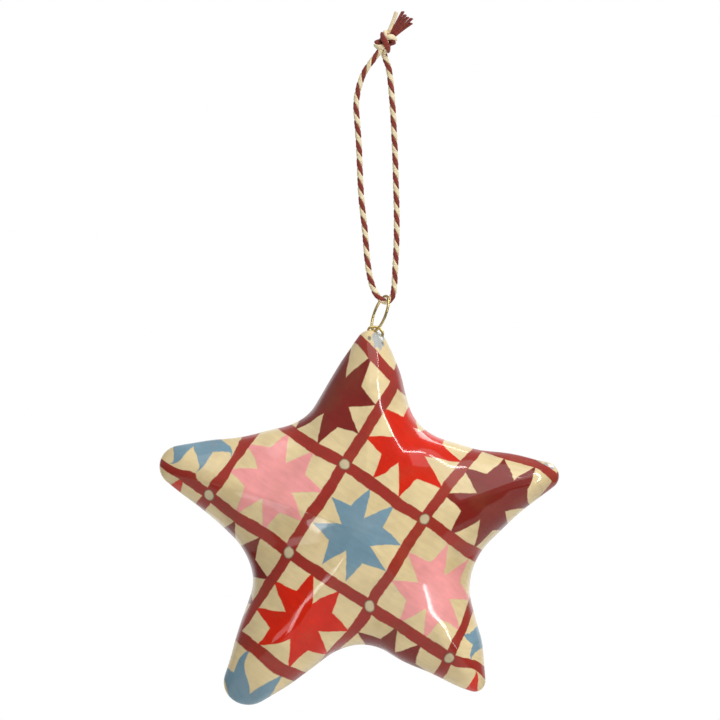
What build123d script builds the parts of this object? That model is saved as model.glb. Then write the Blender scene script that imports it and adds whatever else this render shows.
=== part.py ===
"""A puffy papier-mache star on a brass ring, hung from a loop of two-ply twine. Millimetres.

+X is to the right, +Z is up, and the painted front faces -Y.
The origin is the top of the inside of the twine loop, just under its knot, where a hook takes it.
"""

import os
from math import cos, hypot, radians, sin, tan

from build123d import *

os.makedirs("parts", exist_ok=True)

# Place of the star's centre below the hanging point
star_centre_x = -5.1
star_drop = 118.8

# Outline of the star at its seam, the arms counted anticlockwise from the top one
arm_reach = 51.6
valley_reach = 29.2
valley_radius = 14.6
arm_lean = (-3.5, -1.3, -0.8, 1.1, -1.2)
arm_extra = (-1.2, 1.6, 1.7, -1.4, -0.7)
nose_radius = (3.9, 4.9, 5.9, 2.8, 3.5)
valley_lean = (-5.3, -1.8, -2.1, 0.5, 3.6)
valley_extra = (2.2, -0.3, -0.2, -0.2, 0.4)
corner_passes = 12

# Puffed depth of the star
half_depth = 15.5
seam_fullness = 1.8
crown_point = 1.3
crown_rounding = 0.44
ridge_crispness = 0.75
slice_shares = (0.25, 0.48, 0.68, 0.84, 0.94, 0.985)

# Paper wall, the band pasted inside over the seam, and the filler in the nose of the top arm
wall = 2.2
least_inner_radius = 0.6
band_thickness = 0.6
band_width = 9.0
plug_depth = 11.0

# Brass wire: the eye set in the nose, and the ring that hangs in it
wire_diameter = 0.7
ring_sink = 0.425
notch_clearance = 0.5
notch_length = 9.0
eye_shift = -0.19
eye_crown_half_width = 1.3
eye_headroom = 0.18
eye_foot_half_width = 2.3
eye_foot_drop = 0.9
eye_foot_forward = 0.5
eye_leg_half_width = 1.2
eye_leg_depth = 8.5
eye_bend_radius = 0.8
ring_length = 9.2
ring_width = 5.2
ring_lean = 20.5
ring_turn = 57.0

# Twine loop, from the left of its knot, down through the ring and back up to the right of the knot
twine_diameter = 1.45
corner_share = 0.45
twine_route = [
    (-0.2, -0.85, 1.6),
    (-2.3, -0.7, -1.1),
    (-4.6, -0.4, -4.2),
    (-6.0, -0.2, -8.0),
    (-6.7, 0.0, -12.2),
    (-6.3, 0.0, -17.2),
    (-5.8, 0.0, -23.8),
    (-5.6, 0.0, -30.8),
    (-5.2, 0.0, -37.2),
    (-4.3, 0.0, -44.5),
    (-3.9, 0.0, -50.8),
    (-3.2, -0.1, -55.5),
    (-2.1, -0.5, -59.2),
    (-0.35, -0.6, -61.3),
    (1.35, 0.6, -61.9),
    (2.7, 0.7, -60.2),
    (3.0, 0.5, -57.2),
    (3.2, 0.3, -53.2),
    (3.5, 0.1, -47.2),
    (3.6, 0.0, -40.8),
    (3.4, 0.0, -33.8),
    (3.2, 0.0, -26.2),
    (2.9, 0.1, -19.2),
    (2.5, 0.2, -12.2),
    (2.0, 0.4, -6.2),
    (1.5, 0.6, -2.8),
    (0.5, 0.75, -0.5),
    (0.2, 0.85, 1.6),
]

# Knot above the loop, with its two cut plies
knot_centre = (0.7, 0.0, 3.2)
knot_lean = 32.0
knot_wrap_count = 3
knot_wrap_reach = 2.0
tail_spread = 0.62
cream_tail_lean = 20.0
cream_tail_length = 8.0
cream_base_diameter = 0.95
cream_end_diameter = 1.15
burgundy_tail_lean = 42.0
burgundy_tail_length = 8.9
burgundy_base_diameter = 1.1
burgundy_end_width = 3.6
burgundy_end_depth = 1.0

# Worked-out places
arm_count = len(arm_lean)
arm_step = 360 / arm_count
star_centre_z = -star_drop
tip_angles = [90 + arm * arm_step + arm_lean[arm] for arm in range(arm_count)]
valley_angles = [90 + (arm + 0.5) * arm_step + valley_lean[arm] for arm in range(arm_count)]
top_reach = arm_reach + arm_extra[0]
top_angle = radians(tip_angles[0])
wire_radius = wire_diameter / 2
twine_radius = twine_diameter / 2
nose_direction = Vector(cos(top_angle), 0, sin(top_angle))
nose_top = Vector(star_centre_x, 0, star_centre_z) + nose_direction * top_reach
eye_base = nose_top + Vector(eye_shift, 0, 0)
ring_bottom = eye_base - Vector(0, 0, ring_sink)
eye_crown_height = wire_diameter + eye_headroom - ring_sink
ring_up = Vector(sin(radians(ring_lean)), 0, cos(radians(ring_lean)))
ring_level = Vector(cos(radians(ring_lean)), 0, -sin(radians(ring_lean)))
ring_side = ring_level * cos(radians(ring_turn)) - Vector(0, sin(radians(ring_turn)), 0)


def slice_shrink(share):
    """Size of the star's slice at a share of the half depth, against the slice at the seam."""
    return (1 - share**seam_fullness) ** (1 / crown_point)


def corner_opening(corners, place):
    """Unit bisector of one corner of a closed outline, and half of its angle."""
    corner = corners[place]
    to_last = (corners[place - 1] - corner).normalized()
    to_next = (corners[(place + 1) % len(corners)] - corner).normalized()
    return (to_last + to_next).normalized(), radians(to_last.get_angle(to_next)) / 2


def sharp_corners(rounded, radii):
    """Sharp corners of the outline that passes through the given points once they are rounded."""
    corners = rounded
    for _ in range(corner_passes):
        moved = []
        for place, point in enumerate(rounded):
            bisector, half_angle = corner_opening(corners, place)
            moved.append(point - bisector * (radii[place] * (1 / sin(half_angle) - 1)))
        corners = moved
    return corners


def star_slice(share, inset):
    """Corners and corner radii of one slice, drawn in by an inset that fades towards the crown."""
    shrink = slice_shrink(share)
    draw_in = inset * shrink
    valley_push = 1 + crown_rounding * share**2
    rounded = []
    radii = []
    for arm in range(arm_count):
        tip = (arm_reach + arm_extra[arm]) * shrink
        valley = (valley_reach + valley_extra[arm]) * shrink * valley_push
        for reach, angle in ((tip, tip_angles[arm]), (valley, valley_angles[arm])):
            rounded.append(Vector(reach * cos(radians(angle)), reach * sin(radians(angle))))
        radii.append(nose_radius[arm] * shrink * (1 - ridge_crispness * (1 - shrink)))
        radii.append(valley_radius * shrink)
    corners = sharp_corners(rounded, radii)
    drawn_corners = []
    drawn_radii = []
    for place, corner in enumerate(corners):
        bisector, half_angle = corner_opening(corners, place)
        side = -1 if bisector.dot(corner) > 0 else 1
        drawn = corner + bisector * (side * draw_in / sin(half_angle))
        drawn_corners.append((star_centre_x + drawn.X, star_centre_z + drawn.Y))
        drawn_radii.append(max(radii[place] - side * draw_in, least_inner_radius * shrink))
    return drawn_corners, drawn_radii


def star_body(inset):
    """The whole star, both halves, as one loft from its back crown to its front crown."""
    depth = half_depth - inset
    shares = [-share for share in reversed(slice_shares)] + [0] + list(slice_shares)
    with BuildPart() as body:
        for share in shares:
            corners, radii = star_slice(abs(share), inset)
            with BuildSketch(Plane.XZ.offset(depth * share)):
                with BuildLine():
                    FilletPolyline(*corners, radius=radii, close=True)
                make_face()
        loft()
    return body.part


def corner_radii(route):
    """Radius at each corner of a cord's route, as large as its two runs allow."""
    points = [Vector(*point) for point in route]
    radii = []
    for before, corner, after in zip(points, points[1:], points[2:]):
        arriving = corner - before
        leaving = after - corner
        half_turn = radians(arriving.get_angle(leaving)) / 2
        radii.append(corner_share * min(arriving.length, leaving.length) / tan(half_turn))
    return radii


# Solids that several pieces are cut from
star_outside = star_body(0)
star_cavity = star_body(wall)
band_inside = star_body(wall + band_thickness)
plug_face = Plane(origin=nose_top, z_dir=nose_direction).offset(-plug_depth)

# Brass eye, a bent wire whose right foot lies on the front of the nose, with its legs in the filler
eye_route = [
    eye_base + Vector(-eye_leg_half_width, 0, -eye_leg_depth),
    eye_base + Vector(-eye_crown_half_width, 0, eye_crown_height),
    eye_base + Vector(eye_crown_half_width, 0, eye_crown_height),
    eye_base + Vector(eye_foot_half_width, -eye_foot_forward, -eye_foot_drop),
    eye_base + Vector(eye_leg_half_width, 0, -eye_leg_depth),
]

with BuildPart() as wire_eye:
    with BuildLine() as eye_path:
        FilletPolyline(*eye_route, radius=eye_bend_radius)
    with BuildSketch(Plane(origin=eye_path.wire() @ 0, z_dir=eye_path.wire() % 0)):
        Circle(wire_radius)
    sweep(path=eye_path.wire())
wire_eye.part.label = "wire_eye"

# Room for the ring in the top of the nose, a groove along the wire
with BuildPart() as ring_groove:
    with BuildSketch(Plane(origin=ring_bottom, z_dir=ring_side)):
        Circle(wire_radius + notch_clearance)
    extrude(amount=notch_length / 2, both=True)

# Paper shells, front and back, which meet at the seam
with BuildPart() as front_shell:
    add(star_outside)
    add(star_cavity, mode=Mode.SUBTRACT)
    split(bisect_by=Plane.XZ, keep=Keep.TOP)
    add(wire_eye.part, mode=Mode.SUBTRACT)
    add(ring_groove.part, mode=Mode.SUBTRACT)
front_shell.part.label = "front_shell"

with BuildPart() as back_shell:
    add(star_outside)
    add(star_cavity, mode=Mode.SUBTRACT)
    split(bisect_by=Plane.XZ, keep=Keep.BOTTOM)
    add(wire_eye.part, mode=Mode.SUBTRACT)
    add(ring_groove.part, mode=Mode.SUBTRACT)
back_shell.part.label = "back_shell"

# Paper band pasted inside over the seam, up to the filler
with BuildPart() as seam_band:
    add(star_cavity)
    add(band_inside, mode=Mode.SUBTRACT)
    split(bisect_by=Plane.XZ.offset(band_width / 2), keep=Keep.BOTTOM)
    split(bisect_by=Plane.XZ.offset(-band_width / 2), keep=Keep.TOP)
    split(bisect_by=plug_face, keep=Keep.BOTTOM)
seam_band.part.label = "seam_band"

# Filler in the nose, round the legs of the eye
with BuildPart() as nose_plug:
    add(star_cavity)
    split(bisect_by=plug_face, keep=Keep.TOP)
    add(wire_eye.part, mode=Mode.SUBTRACT)
nose_plug.part.label = "nose_plug"

# Brass ring, an oval of four tangent arcs, leaning to the right and turned nearly edge on
ring_centre = ring_bottom + ring_up * (ring_length / 2)
ring_plane = Plane(origin=ring_centre, x_dir=ring_side, z_dir=ring_side.cross(ring_up))
oval_long = ring_length / 2
oval_short = ring_width / 2
oval_chord = hypot(oval_long, oval_short)
oval_end_radius = (oval_chord**2 - (oval_long - oval_short) * oval_chord) / (2 * oval_long)
oval_side_radius = (oval_chord**2 + (oval_long - oval_short) * oval_chord) / (2 * oval_short)
oval_end_centre = oval_long - oval_end_radius
oval_side_centre = oval_side_radius - oval_short
oval_reach = hypot(oval_end_centre, oval_side_centre)
oval_join_x = oval_end_radius * oval_side_centre / oval_reach
oval_join_y = oval_end_centre + oval_end_radius * oval_end_centre / oval_reach

with BuildPart() as hanger_ring:
    with BuildLine(ring_plane) as ring_path:
        ThreePointArc((oval_join_x, -oval_join_y), (oval_short, 0), (oval_join_x, oval_join_y))
        ThreePointArc((oval_join_x, oval_join_y), (0, oval_long), (-oval_join_x, oval_join_y))
        ThreePointArc((-oval_join_x, oval_join_y), (-oval_short, 0), (-oval_join_x, -oval_join_y))
        ThreePointArc((-oval_join_x, -oval_join_y), (0, -oval_long), (oval_join_x, -oval_join_y))
    with BuildSketch(Plane(origin=ring_path.wire() @ 0, z_dir=ring_path.wire() % 0)):
        Circle(wire_radius)
    sweep(path=ring_path.wire())
hanger_ring.part.label = "hanger_ring"

# Twine loop as one plain tube
twine_radii = corner_radii(twine_route)

with BuildPart() as twine_loop:
    with BuildLine() as twine_path:
        FilletPolyline(*twine_route, radius=twine_radii)
    with BuildSketch(Plane(origin=twine_path.wire() @ 0, z_dir=twine_path.wire() % 0)):
        Circle(twine_radius)
    sweep(path=twine_path.wire())
twine_loop.part.label = "twine_loop"

# Knot, a stack of wraps that the two ends of the loop go into
def lean_plane(lean):
    """Plane through the knot's centre, square to a line that leans to the right."""
    across = (cos(radians(lean)), 0, -sin(radians(lean)))
    along = (sin(radians(lean)), 0, cos(radians(lean)))
    return Plane(origin=knot_centre, x_dir=across, z_dir=along)


knot_plane = lean_plane(knot_lean)
knot_half_length = knot_wrap_count * twine_radius
knot_top = knot_plane.offset(knot_half_length)
wrap_neck = knot_wrap_reach - twine_radius

with BuildPart() as twine_knot:
    with BuildSketch(Plane(origin=knot_centre, x_dir=knot_plane.x_dir, z_dir=-knot_plane.y_dir)):
        with BuildLine():
            Polyline(
                (wrap_neck, -knot_half_length),
                (0, -knot_half_length),
                (0, knot_half_length),
                (wrap_neck, knot_half_length),
            )
            for wrap in range(knot_wrap_count):
                foot = wrap * twine_diameter - knot_half_length
                ThreePointArc(
                    (wrap_neck, foot),
                    (knot_wrap_reach, foot + twine_radius),
                    (wrap_neck, foot + twine_diameter),
                )
        make_face()
    revolve(axis=Axis(knot_centre, tuple(knot_plane.z_dir)))
    add(twine_loop.part, mode=Mode.SUBTRACT)
twine_knot.part.label = "twine_knot"

# Cut plies above the knot: the cream one plain, the burgundy one frayed into a flat fan
with BuildPart() as cream_tail:
    with BuildSketch(knot_top):
        with Locations((-tail_spread, 0)):
            Circle(cream_base_diameter / 2)
    with BuildSketch(lean_plane(cream_tail_lean).offset(cream_tail_length)):
        Circle(cream_end_diameter / 2)
    loft()
cream_tail.part.label = "cream_tail"

with BuildPart() as burgundy_tail:
    with BuildSketch(knot_top):
        with Locations((tail_spread, 0)):
            Circle(burgundy_base_diameter / 2)
    with BuildSketch(lean_plane(burgundy_tail_lean).offset(burgundy_tail_length)):
        Ellipse(burgundy_end_width / 2, burgundy_end_depth / 2)
    loft()
burgundy_tail.part.label = "burgundy_tail"

pieces = [
    front_shell,
    back_shell,
    seam_band,
    nose_plug,
    wire_eye,
    hanger_ring,
    twine_loop,
    twine_knot,
    cream_tail,
    burgundy_tail,
]
for piece in pieces:
    export_step(piece.part, f"parts/{piece.part.label}.step")

twine_length = twine_path.wire().length
twine_fullness = twine_loop.part.volume / (Circle(twine_radius).area * twine_length)
print("twine corner radii", [round(radius, 2) for radius in twine_radii])
print("twine length", round(twine_length, 1), "volume against section times length", round(twine_fullness, 4))
print("ring bottom", ring_bottom, "ring top", ring_bottom + ring_up * ring_length, "ring side", ring_side)
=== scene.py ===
"""A painted paper star on a brass ring and a loop of two-ply twine, dressed for its picture."""

import logging
import math
from dataclasses import dataclass, field
from enum import Enum
from typing import Any, Dict, List, Optional, Sequence, Tuple

import bmesh
import bpy
import numpy as np
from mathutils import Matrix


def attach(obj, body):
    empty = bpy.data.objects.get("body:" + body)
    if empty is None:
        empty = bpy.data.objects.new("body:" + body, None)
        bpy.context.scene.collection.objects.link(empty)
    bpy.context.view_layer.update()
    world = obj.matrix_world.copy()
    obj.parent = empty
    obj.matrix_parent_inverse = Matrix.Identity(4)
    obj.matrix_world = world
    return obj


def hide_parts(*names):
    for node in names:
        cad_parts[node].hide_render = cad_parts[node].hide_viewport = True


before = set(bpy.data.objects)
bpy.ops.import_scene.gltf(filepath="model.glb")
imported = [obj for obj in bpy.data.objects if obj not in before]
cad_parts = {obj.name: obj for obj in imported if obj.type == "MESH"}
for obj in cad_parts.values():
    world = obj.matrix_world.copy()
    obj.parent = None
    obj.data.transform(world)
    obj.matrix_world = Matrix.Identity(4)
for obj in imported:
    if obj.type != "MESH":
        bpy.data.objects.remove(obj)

log = logging.getLogger("star_ornament")

MILLIMETRE = 0.001
FULL_TURN = 2 * math.pi
FRONT = np.array((0.0, -1.0, 0.0))
QUILT_MAP = "quilt"
LAY_MAP = "lay"
WHITE = (1.0, 1.0, 1.0, 1.0)

Colour = Tuple[int, int, int]
Point = Tuple[float, float, float]
Span = Tuple[float, float]
Socket = Any
Node = bpy.types.Node
Material = bpy.types.Material
Piece = bpy.types.Object


class Body(Enum):
    """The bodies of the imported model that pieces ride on."""

    TWINE = "twine"
    RING = "ring"
    STAR = "star"


class Ply(Enum):
    """The two plies of the twine."""

    CREAM = 0
    BURGUNDY = 1


class SocketKind(Enum):
    """Kinds of group socket."""

    NUMBER = "NodeSocketFloat"
    COLOUR = "NodeSocketColor"
    PLACE = "NodeSocketVector"


class Grain(Enum):
    """How many finer layers a noise has."""

    SMOOTH = 1.0
    SOFT = 2.0
    CLOUDY = 3.0
    GRAINY = 4.0


def linear(colour: Colour) -> Tuple[float, float, float, float]:
    """Scene colour of a screen colour, by the numbers of the sRGB standard.

    Args:
        colour: Red, green and blue as seen on a screen, 0 to 255.

    Returns:
        Linear red, green, blue and full alpha.
    """
    shares = [part / 255 for part in colour]
    parts = [share / 12.92 if share <= 0.04045 else ((share + 0.055) / 1.055) ** 2.4 for share in shares]
    return parts[0], parts[1], parts[2], 1.0


@dataclass(frozen=True)
class NodeSheet:
    """Short hand for laying out one node tree."""

    tree: bpy.types.NodeTree

    def add(self, kind: str, inputs: Optional[Dict[Any, Any]] = None, **settings: Any) -> Node:
        """Adds a node.

        Args:
            kind: Blender's name for the node.
            inputs: Values or sockets for its inputs, by name or place.
            **settings: Properties of the node, set before its inputs.

        Returns:
            The new node.
        """
        node = self.tree.nodes.new(kind)
        for name, value in settings.items():
            setattr(node, name, value)
        for key, value in (inputs or {}).items():
            self.feed(value, node.inputs[key])
        return node

    def feed(self, value: Any, socket: Socket) -> None:
        """Links a socket, or sets a plain value, on an input.

        Args:
            value: An output socket, or the value itself.
            socket: The input that takes it.
        """
        if isinstance(value, bpy.types.NodeSocket):
            self.tree.links.new(value, socket)
        else:
            socket.default_value = value

    def math(self, operation: str, *values: Any) -> Socket:
        """Result of one sum.

        Args:
            operation: Blender's name for the operation.
            *values: Its numbers or sockets, in order.

        Returns:
            The socket that holds the result.
        """
        return self.add("ShaderNodeMath", dict(enumerate(values)), operation=operation).outputs[0]

    def vector(self, operation: str, *values: Any) -> Socket:
        """Result of one sum of vectors.

        Args:
            operation: Blender's name for the operation.
            *values: Its vectors or sockets, in order.

        Returns:
            The socket that holds the result.
        """
        return self.add("ShaderNodeVectorMath", dict(enumerate(values)), operation=operation).outputs[0]

    def step(self, value: Any, low: float, high: float) -> Socket:
        """Smooth rise from 0 to 1 of a value between two limits, or a fall if low is above high.

        Args:
            value: The number or socket that is tested.
            low: Where the result is 0.
            high: Where the result is 1.

        Returns:
            The socket that holds the result.
        """
        inputs = {0: value, 1: low, 2: high, 3: 0.0, 4: 1.0}
        return self.add("ShaderNodeMapRange", inputs, interpolation_type="SMOOTHSTEP").outputs[0]

    def mix(self, share: Any, first: Any, second: Any, blend: str = "MIX") -> Socket:
        """Mix of two colours.

        Args:
            share: How much of the second colour, from 0 to 1.
            first: First colour or socket.
            second: Second colour or socket.
            blend: Blender's name for the kind of mix.

        Returns:
            The socket that holds the colour.
        """
        inputs = {0: share, 6: first, 7: second}
        return self.add("ShaderNodeMix", inputs, data_type="RGBA", blend_type=blend).outputs[2]

    def noise(self, place: Any, scale: float, grain: Grain) -> Socket:
        """Cloudy noise.

        Args:
            place: Socket that holds the place.
            scale: Clouds per unit of the place.
            grain: How many finer layers it has.

        Returns:
            The socket that holds its value.
        """
        inputs = {"Vector": place, "Scale": scale, "Detail": grain.value}
        return self.add("ShaderNodeTexNoise", inputs).outputs[0]


def new_group(
    name: str, inputs: Dict[str, SocketKind], outputs: Dict[str, SocketKind]
) -> Tuple[NodeSheet, Node, Node]:
    """Starts a node group.

    Args:
        name: The group's name.
        inputs: Kinds of its inputs, by name.
        outputs: Kinds of its outputs, by name.

    Returns:
        The sheet to lay it out on, its input node and its output node.
    """
    tree = bpy.data.node_groups.new(name, "ShaderNodeTree")
    for side, sockets in (("INPUT", inputs), ("OUTPUT", outputs)):
        for label, kind in sockets.items():
            tree.interface.new_socket(name=label, in_out=side, socket_type=kind.value)
    sheet = NodeSheet(tree)
    return sheet, sheet.add("NodeGroupInput"), sheet.add("NodeGroupOutput")


def new_material(name: str) -> Tuple[Material, NodeSheet, Node]:
    """Starts a material.

    Args:
        name: The material's name.

    Returns:
        The material, the sheet to lay it out on, and its main shader.
    """
    material = bpy.data.materials.new(name)
    material.use_nodes = True
    sheet = NodeSheet(material.node_tree)
    return material, sheet, material.node_tree.nodes["Principled BSDF"]


def add_bump(sheet: NodeSheet, shader: Node, height: Socket, strength: float, depth: float) -> None:
    """Bends a shader's surface by a height.

    Args:
        sheet: The sheet of the material.
        shader: Its main shader.
        height: The height, from 0 to about 1.
        strength: How much of the bend is used.
        depth: Depth of a height of 1, in metres.
    """
    bump = sheet.add("ShaderNodeBump", {"Strength": strength, "Distance": depth, "Height": height})
    sheet.feed(bump.outputs[0], shader.inputs["Normal"])


@dataclass(frozen=True)
class Wear:
    """How handling shows: smudges per unit, their amount, the least roughness, and the bump."""

    patch: float
    amount: float
    polish: float
    bump: float
    depth: float


@dataclass
class SharedEffects:
    """Node groups that more than one finish uses."""

    patch_limits: Span = (0.45, 0.75)
    speck_limits: Span = (0.62, 0.74)
    speck_fineness: float = 7.0
    speck_share: float = 0.6
    speck_roughness: float = 0.12
    soil_roughness: float = 0.25
    fibre_wind: float = 0.55
    fibre_stretch: float = 0.9
    fibre_limits: Span = (0.56, 0.34)
    fibre_share: float = 0.75
    tuft_fineness: float = 2.3
    tuft_limits: Span = (0.3, 0.75)
    tuft_share: float = 0.18
    tuft_light: Tuple[float, ...] = (1.0, 0.93, 0.85, 1.0)
    handling: bpy.types.NodeTree = field(init=False)
    spun_fibre: bpy.types.NodeTree = field(init=False)

    def __post_init__(self) -> None:
        """Builds the groups once."""
        self.handling = self.build_handling()
        self.spun_fibre = self.build_spun_fibre()

    def build_handling(self) -> bpy.types.NodeTree:
        """Smudges and small unevenness that handling leaves.

        Returns:
            A group that dulls a colour in patches, and gives a roughness and a height that follow them.
        """
        colour = SocketKind.COLOUR
        number = SocketKind.NUMBER
        inputs = {"Colour": colour, "Soil": colour, "Place": SocketKind.PLACE}
        inputs.update({name: number for name in ("Patch", "Amount", "Polish")})
        outputs = {"Colour": colour, "Roughness": number, "Height": number}
        sheet, given, out = new_group("handling", inputs, outputs)
        scaled = {0: given.outputs["Place"], "Scale": given.outputs["Patch"]}
        spread = sheet.add("ShaderNodeVectorMath", scaled, operation="SCALE").outputs[0]
        broad = sheet.noise(spread, 1.0, Grain.CLOUDY)
        fine = sheet.noise(spread, self.speck_fineness, Grain.GRAINY)
        patch = sheet.step(broad, *self.patch_limits)
        speck = sheet.math("MULTIPLY", sheet.step(fine, *self.speck_limits), self.speck_share)
        soil = sheet.math("MULTIPLY", sheet.math("MAXIMUM", patch, speck), given.outputs["Amount"])
        soiled = sheet.mix(soil, given.outputs["Colour"], given.outputs["Soil"])
        rough = sheet.math("MULTIPLY_ADD", fine, self.speck_roughness, given.outputs["Polish"])
        rough = sheet.math("MULTIPLY_ADD", soil, self.soil_roughness, rough)
        for name, socket in (("Colour", soiled), ("Roughness", rough), ("Height", fine)):
            sheet.feed(socket, out.inputs[name])
        return sheet.tree

    def build_spun_fibre(self) -> bpy.types.NodeTree:
        """Fine fibres that wind along a ply.

        Returns:
            A group that darkens a colour to its shade colour in the low grooves between the fibres, as
            painted shade, lightens it in random tufts, and gives the fibres' height.
        """
        colour = SocketKind.COLOUR
        number = SocketKind.NUMBER
        inputs = {"Colour": colour, "Shade": colour, "Place": SocketKind.PLACE, "Fibres": number}
        sheet, given, out = new_group("spun_fibre", inputs, {"Colour": colour, "Height": number})
        parts = sheet.add("ShaderNodeSeparateXYZ", {0: given.outputs["Place"]})
        along = parts.outputs[0]
        wind = sheet.math("MULTIPLY_ADD", along, self.fibre_wind, parts.outputs[1])
        stretched = sheet.math("MULTIPLY", along, self.fibre_stretch)
        wound = sheet.math("MULTIPLY", wind, given.outputs["Fibres"])
        lines = sheet.add("ShaderNodeCombineXYZ", {0: stretched, 1: wound})
        fibre = sheet.noise(lines.outputs[0], 1.0, Grain.CLOUDY)
        tuft = sheet.noise(given.outputs["Place"], self.tuft_fineness, Grain.SOFT)
        # Painted shade: darker where the fibre height is low, in the grooves between fibres.
        dark = sheet.math("MULTIPLY", sheet.step(fibre, *self.fibre_limits), self.fibre_share)
        shaded = sheet.mix(dark, given.outputs["Colour"], given.outputs["Shade"])
        lift = sheet.math("MULTIPLY", sheet.step(tuft, *self.tuft_limits), self.tuft_share)
        sheet.feed(sheet.mix(lift, shaded, self.tuft_light, "SOFT_LIGHT"), out.inputs["Colour"])
        sheet.feed(fibre, out.inputs["Height"])
        return sheet.tree

    def handle(
        self, sheet: NodeSheet, shader: Node, colour: Any, soil: Colour, place: Socket, wear: Wear
    ) -> Socket:
        """Feeds a handled colour and its roughness to a shader.

        Args:
            sheet: The sheet of the material.
            shader: Its main shader.
            colour: The clean colour or its socket.
            soil: Colour of the smudges.
            place: Socket that holds the place.
            wear: How handling shows.

        Returns:
            The socket that holds the height.
        """
        inputs = {"Colour": colour, "Soil": linear(soil), "Place": place}
        inputs.update({"Patch": wear.patch, "Amount": wear.amount, "Polish": wear.polish})
        worn = sheet.add("ShaderNodeGroup", inputs, node_tree=self.handling)
        sheet.feed(worn.outputs["Colour"], shader.inputs["Base Color"])
        sheet.feed(worn.outputs["Roughness"], shader.inputs["Roughness"])
        return worn.outputs["Height"]


@dataclass(frozen=True)
class Dab:
    """A small round mark of colour at a place on the quilt, in blocks."""

    place: Point
    reach: float
    colour: Colour
    cover: float


GREY_BLUE: Colour = (160, 174, 184)
DARK_GREY: Colour = (104, 108, 104)


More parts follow.
